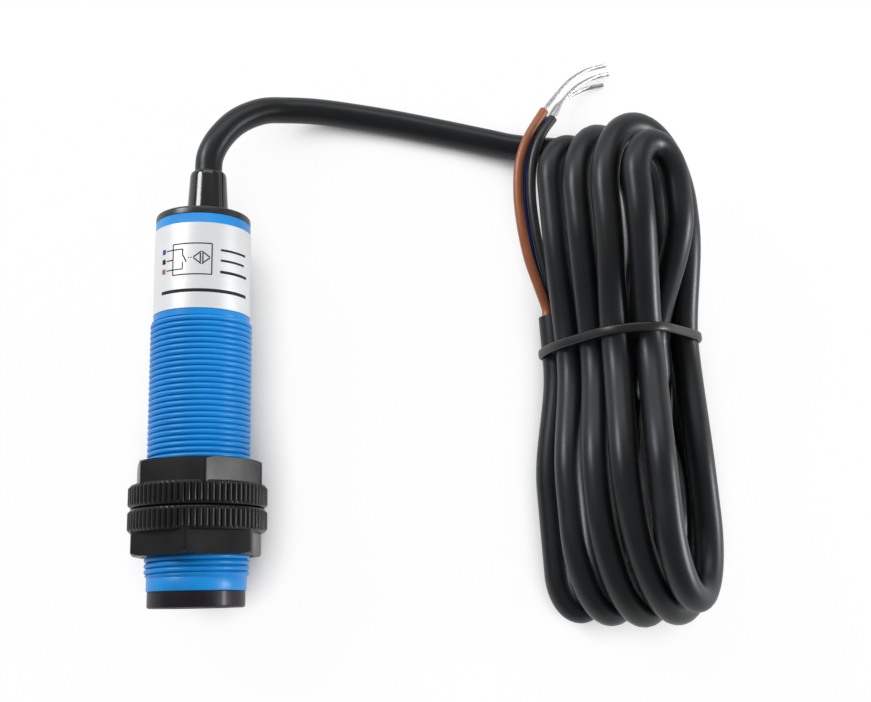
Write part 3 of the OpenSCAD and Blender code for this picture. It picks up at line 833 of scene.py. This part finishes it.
def new_flow(name, diameter, ring):
    """An empty curve that is drawn as a round cord with closed ends."""
    flow = bpy.data.curves.new(name, "CURVE")
    flow.dimensions = "3D"
    flow.bevel_depth = diameter / 2
    flow.bevel_resolution = ring
    flow.use_fill_caps = True
    return flow


def add_run(flow, path):
    spline = flow.splines.new("POLY")
    spline.points.add(len(path) - 1)
    for point, place in zip(spline.points, path):
        point.co = (*place, 1)
    spline.use_smooth = True


def put_out(name, flow):
    cord = bpy.data.objects.new(name, flow)
    bpy.context.scene.collection.objects.link(cord)
    return cord


def draw_cord(name, path, diameter, ring):
    flow = new_flow(name, diameter, ring)
    add_run(flow, path)
    return put_out(name, flow)


cable = draw_cord("cable_jacket", cable_path, cable_d * mm, ring=8)
jacket = moulded_plastic("black_cable_jacket", (0.0050, 0.0055, 0.0064), (0.0078, 0.0083, 0.0094),
                         (0.34, 0.42), grain=0.25, grain_scale=3500, patch_scale=120, shine=0.36)
tune(jacket, Specular_Tint=(0.88, 0.95, 1, 1))
dress(cable, jacket, "sensor", "jacket_black", "cable_lead_in", "cable_hank")


# Tie: a black rubber ring stretched round the waist of the hank. It follows the outline of the
# strands there, a little clear of them, and its edges are well rounded.
tie_at = 2.0
tie_w = 1.7
tie_t = 1.0
tie_gap = 0.2
tie_edge = 0.48
strand_points = 48
band_points = 180
ease_over = 5


def hull_round(points):
    """The outline of a rubber band stretched round points in a plane, anticlockwise."""
    points = sorted(points)

    def chain(run):
        out = []
        for p in run:
            while len(out) > 1 and ((out[-1][0] - out[-2][0]) * (p[1] - out[-2][1])
                                    - (out[-1][1] - out[-2][1]) * (p[0] - out[-2][0])) <= 0:
                out.pop()
            out.append(p)
        return out[:-1]
    return chain(points) + chain(points[::-1])


def rounded(loop, reach):
    """The same closed outline with its bends eased over some points each way."""
    count = len(loop)
    near = range(-reach, reach + 1)
    return [tuple(sum(loop[(i + k) % count][c] for k in near) / len(near) for c in (0, 1))
            for i in range(count)]


def evenly(loop, count):
    """The same closed outline with evenly spaced points."""
    closed = loop + loop[:1]
    lengths = [math.dist(a, b) for a, b in zip(closed, closed[1:])]
    total, out = sum(lengths), []
    for i in range(count):
        ahead, k = total * i / count, 0
        while ahead > lengths[k]:
            ahead -= lengths[k]
            k += 1
        t = ahead / lengths[k]
        out.append(tuple(a + (b - a) * t for a, b in zip(closed[k], closed[k + 1])))
    return out


bundle = [strand_at(s, tie_at) for s in top_strands + low_strands]
reach = cable_d / 2 + tie_gap
turns = [math.tau * i / strand_points for i in range(strand_points)]
around = [(p.x + reach * math.cos(q), p.z + reach * math.sin(q)) for p in bundle for q in turns]
band_line = evenly(hull_round(around), band_points)
band_line = rounded(rounded(band_line, ease_over), ease_over)
start_clean()
bpy.ops.mesh.primitive_circle_add(vertices=len(band_line), radius=1, rotation=(math.pi / 2, 0, 0))
tie = bpy.context.object
tie.name = "rubber_tie"
settle()
for point, (x, z) in zip(tie.data.vertices, band_line):
    point.co = Vector((x, tie_at - tie_w / 2, z))
bpy.ops.object.mode_set(mode="EDIT")
bpy.ops.mesh.select_all(action="SELECT")
bpy.ops.mesh.extrude_region_move(TRANSFORM_OT_translate={"value": (0, tie_w, 0)})
close_up()
thicken(tie, "wall", tie_t, offset=1)
rounding = tie.modifiers.new("rounding", "BEVEL")
rounding.width = tie_edge
rounding.segments = 4
rounding.limit_method = "ANGLE"
rounding.angle_limit = math.radians(50)
bpy.ops.object.modifier_apply(modifier=rounding.name)
for point in tie.data.vertices:
    point.co = on_table(point.co)
smooth_by(tie, 50)
tie_rubber = moulded_plastic("black_tie_rubber", (0.007, 0.007, 0.0075), (0.011, 0.011, 0.012),
                             (0.3, 0.4), grain=0.25, shine=0.4)
dress(tie, tie_rubber, "sensor", "tie_black", "cable_tie")


# Leads: three insulated cores out of the end of the cable, brown, blue and black, each stripped
# at its end to a twist of fine tinned strands.
lead_d = 1.8
tail_end = strand_at(top_strands[0], tail)
# For each lead: its place in the cable's end, the way of its insulation and the way of its strands.
lead_routes = {
    "brown": ((-1, 0.7),
              ((-0.6, 14.5, 6.2), (-2.1, 20, 7.2), (-2.9, 26.5, 7.8), (-3, 32.5, 8.1), (-2.2, 38.5, 8.3),
               (-0.1, 43.5, 8.3), (3.5, 48.9, 7.4)),
              ((6.2, 52.7, 5.2), (9.4, 56.2, 3.8), (13, 58.7, 2.4), (17.2, 60.1, 1.2))),
    "blue": ((0, -1.1),
             ((0.3, 14.5, 4), (-0.8, 20, 5), (-1.6, 26.5, 5.8), (-1.7, 32.5, 6.2), (-0.9, 38.5, 6.4),
              (1.1, 43.5, 6.4), (4.2, 48, 5)),
             ((6.6, 51.6, 3), (9.6, 54, 1.6), (13, 55.6, 0.9), (16.4, 56.2, 0.8))),
    "black": ((1, 0.7),
              ((1.5, 14.5, 6), (0.3, 20, 7.1), (-0.4, 26.5, 7.8), (-0.5, 32.5, 8.1), (0.3, 38.5, 8.3),
               (2.3, 43.5, 8.3), (5, 47.3, 7)),
              ((7.2, 51.2, 5), (10.2, 54.6, 3.6), (13.8, 57, 2.2), (17.6, 58.2, 1.2)))}
lead_tints = {"brown": ((0.265, 0.078, 0.028), (0.35, 0.106, 0.04)),
              "blue": ((0.010, 0.022, 0.16), (0.016, 0.034, 0.22)),
              "black": ((0.010, 0.011, 0.013), (0.016, 0.017, 0.019))}
straight_start = 1.2
strand_d = 0.16
layers = ((1, 0.0), (6, 0.17), (12, 0.32))
twist_every = 7.0


def twist_strands(name, path, seed):
    """Fine strands laid round each other along the path, a little loose towards the free end."""
    loose = random.Random(seed)
    flow = new_flow(name, strand_d * mm, ring=1)
    for count, lay_r in layers:
        for n in range(count):
            phase = math.tau * n / count + loose.uniform(-0.12, 0.12)
            stray = loose.uniform(0.92, 1.08)
            gone, run = 0.0, []
            for i, place in enumerate(path):
                ahead = (path[min(i + 1, len(path) - 1)] - path[max(i - 1, 0)]).normalized()
                side = ahead.cross(Vector((0, 0, 1))).normalized()
                up = side.cross(ahead)
                gone += (place - path[i - 1]).length / mm if i else 0.0
                turn = phase + math.tau * gone / twist_every
                out = lay_r * mm * (1 + (stray - 1) * i / len(path))
                run.append(place + out * (side * math.cos(turn) + up * math.sin(turn)))
            add_run(flow, run)
    take(put_out(name, flow))
    bpy.ops.object.convert(target="MESH")
    return bpy.context.object


tin = bright_metal("tinned_copper", (0.46, 0.46, 0.47), (0.74, 0.74, 0.75), roughness=0.26,
                   scale=1500.0, detail=3.0)
for number, (colour, ((u, w), lead_points, wire_points)) in enumerate(lead_routes.items()):
    start_points = [tail_end + Vector((u, 0, w)), tail_end + Vector((u, lead_d, w))]
    lead_path = through([on_table(p) for p in start_points + list(lead_points)], steps=8)
    lead = draw_cord(colour + "_lead_insulation", lead_path, lead_d * mm, ring=4)
    insulation = moulded_plastic(colour + "_insulation", *lead_tints[colour], (0.32, 0.45), grain=0.25,
                                 grain_scale=4000)
    dress(lead, insulation, "sensor", "lead_" + colour, colour + "_lead")
    heading = (lead_path[-1] - lead_path[-2]).normalized()
    wire_start = [lead_path[-1], lead_path[-1] + heading * straight_start * mm]
    wire_path = through(wire_start + [on_table(p) for p in wire_points], steps=12)
    wire = twist_strands(colour + "_wire_strands", wire_path, seed=number + 1)
    dress(wire, tin, "sensor", "tinned_wire", colour + "_wire")
core_finish = moulded_plastic("core_insulation", (0.19, 0.07, 0.025), (0.24, 0.09, 0.03), (0.4, 0.5))
dress_node("core_tails", core_finish)


# Table and light: a plain white table with a low white backdrop all round its far edge, under soft
# studio light from the left, the right and the back.
white = (1, 1, 1, 1)
table_size = 6
table_drop = 0.03 * mm
backdrop_r = 2.8
backdrop_h = 0.5
contact_reach = 14 * mm
sky_strength = 0.35

start_clean()
bpy.ops.mesh.primitive_plane_add(size=table_size, location=(0, 0, -table_drop))
table = bpy.context.object
table.name = "white_table"
table_finish, nodes, links = new_finish("white_table_top")
tune(table_finish, Base_Color=(0.9, 0.9, 0.9, 1), Roughness=0.6)
# What looks at the table sees it glow white, except where the sensor stands close over it.
glow = add_node(nodes, "ShaderNodeEmission", Color=white)
rays = add_node(nodes, "ShaderNodeLightPath")
seen = add_node(nodes, "ShaderNodeMath", operation="MAXIMUM")
links.new(rays.outputs["Is Camera Ray"], seen.inputs[0])
links.new(rays.outputs["Is Glossy Ray"], seen.inputs[1])
seen_too = add_node(nodes, "ShaderNodeMath", operation="MAXIMUM")
links.new(seen.outputs["Value"], seen_too.inputs[0])
links.new(rays.outputs["Is Transmission Ray"], seen_too.inputs[1])
open_sky = add_node(nodes, "ShaderNodeAmbientOcclusion", Distance=contact_reach, samples=16)
openness = add_node(nodes, "ShaderNodeMapRange", From_Min=0.35, From_Max=0.75, To_Min=0.0, To_Max=0.96)
links.new(open_sky.outputs["AO"], openness.inputs["Value"])
share = add_node(nodes, "ShaderNodeMath", operation="MULTIPLY")
links.new(seen_too.outputs["Value"], share.inputs[0])
links.new(openness.outputs["Result"], share.inputs[1])
mix = add_node(nodes, "ShaderNodeMixShader")
links.new(share.outputs["Value"], mix.inputs["Fac"])
links.new(nodes["Principled BSDF"].outputs["BSDF"], mix.inputs[1])
links.new(glow.outputs["Emission"], mix.inputs[2])
links.new(mix.outputs["Shader"], nodes["Material Output"].inputs["Surface"])
table.data.materials.append(table_finish)

start_clean()
bpy.ops.mesh.primitive_cylinder_add(vertices=96, radius=backdrop_r, depth=backdrop_h,
                                    end_fill_type="NOTHING", location=(0, 0, backdrop_h / 2))
backdrop = bpy.context.object
backdrop.name = "white_backdrop"
backdrop_finish, nodes, links = new_finish("white_backdrop_sheet")
glow = add_node(nodes, "ShaderNodeEmission", Color=white)
links.new(glow.outputs["Emission"], nodes["Material Output"].inputs["Surface"])
backdrop_finish.cycles.emission_sampling = "NONE"
backdrop.data.materials.append(backdrop_finish)

world = bpy.data.worlds.new("studio")
bpy.context.scene.world = world
world.use_nodes = True
sky = world.node_tree.nodes["Background"]
sky.inputs["Color"].default_value = white
sky.inputs["Strength"].default_value = sky_strength


def softbox(name, place, aim, size, power):
    start_clean()
    bpy.ops.object.light_add(type="AREA", location=place)
    lamp = bpy.context.object
    lamp.name = name
    lamp.data.shape = "RECTANGLE"
    lamp.data.size, lamp.data.size_y = size
    lamp.data.energy = power
    lamp.rotation_euler = (Vector(aim) - Vector(place)).to_track_quat("-Z", "Y").to_euler()


softbox("left_softbox", place=(-0.4, 0.34, 0.39), aim=(0.03, 0.0, 0.0), size=(0.2, 0.22), power=2.7)
softbox("right_softbox", place=(0.5, -0.05, 0.115), aim=(0.06, 0.0, 0.0), size=(0.2, 0.1), power=2.0)
softbox("back_softbox", place=(0.05, 0.52, 0.42), aim=(0.04, 0.0, 0.0), size=(0.6, 0.3), power=1.4)
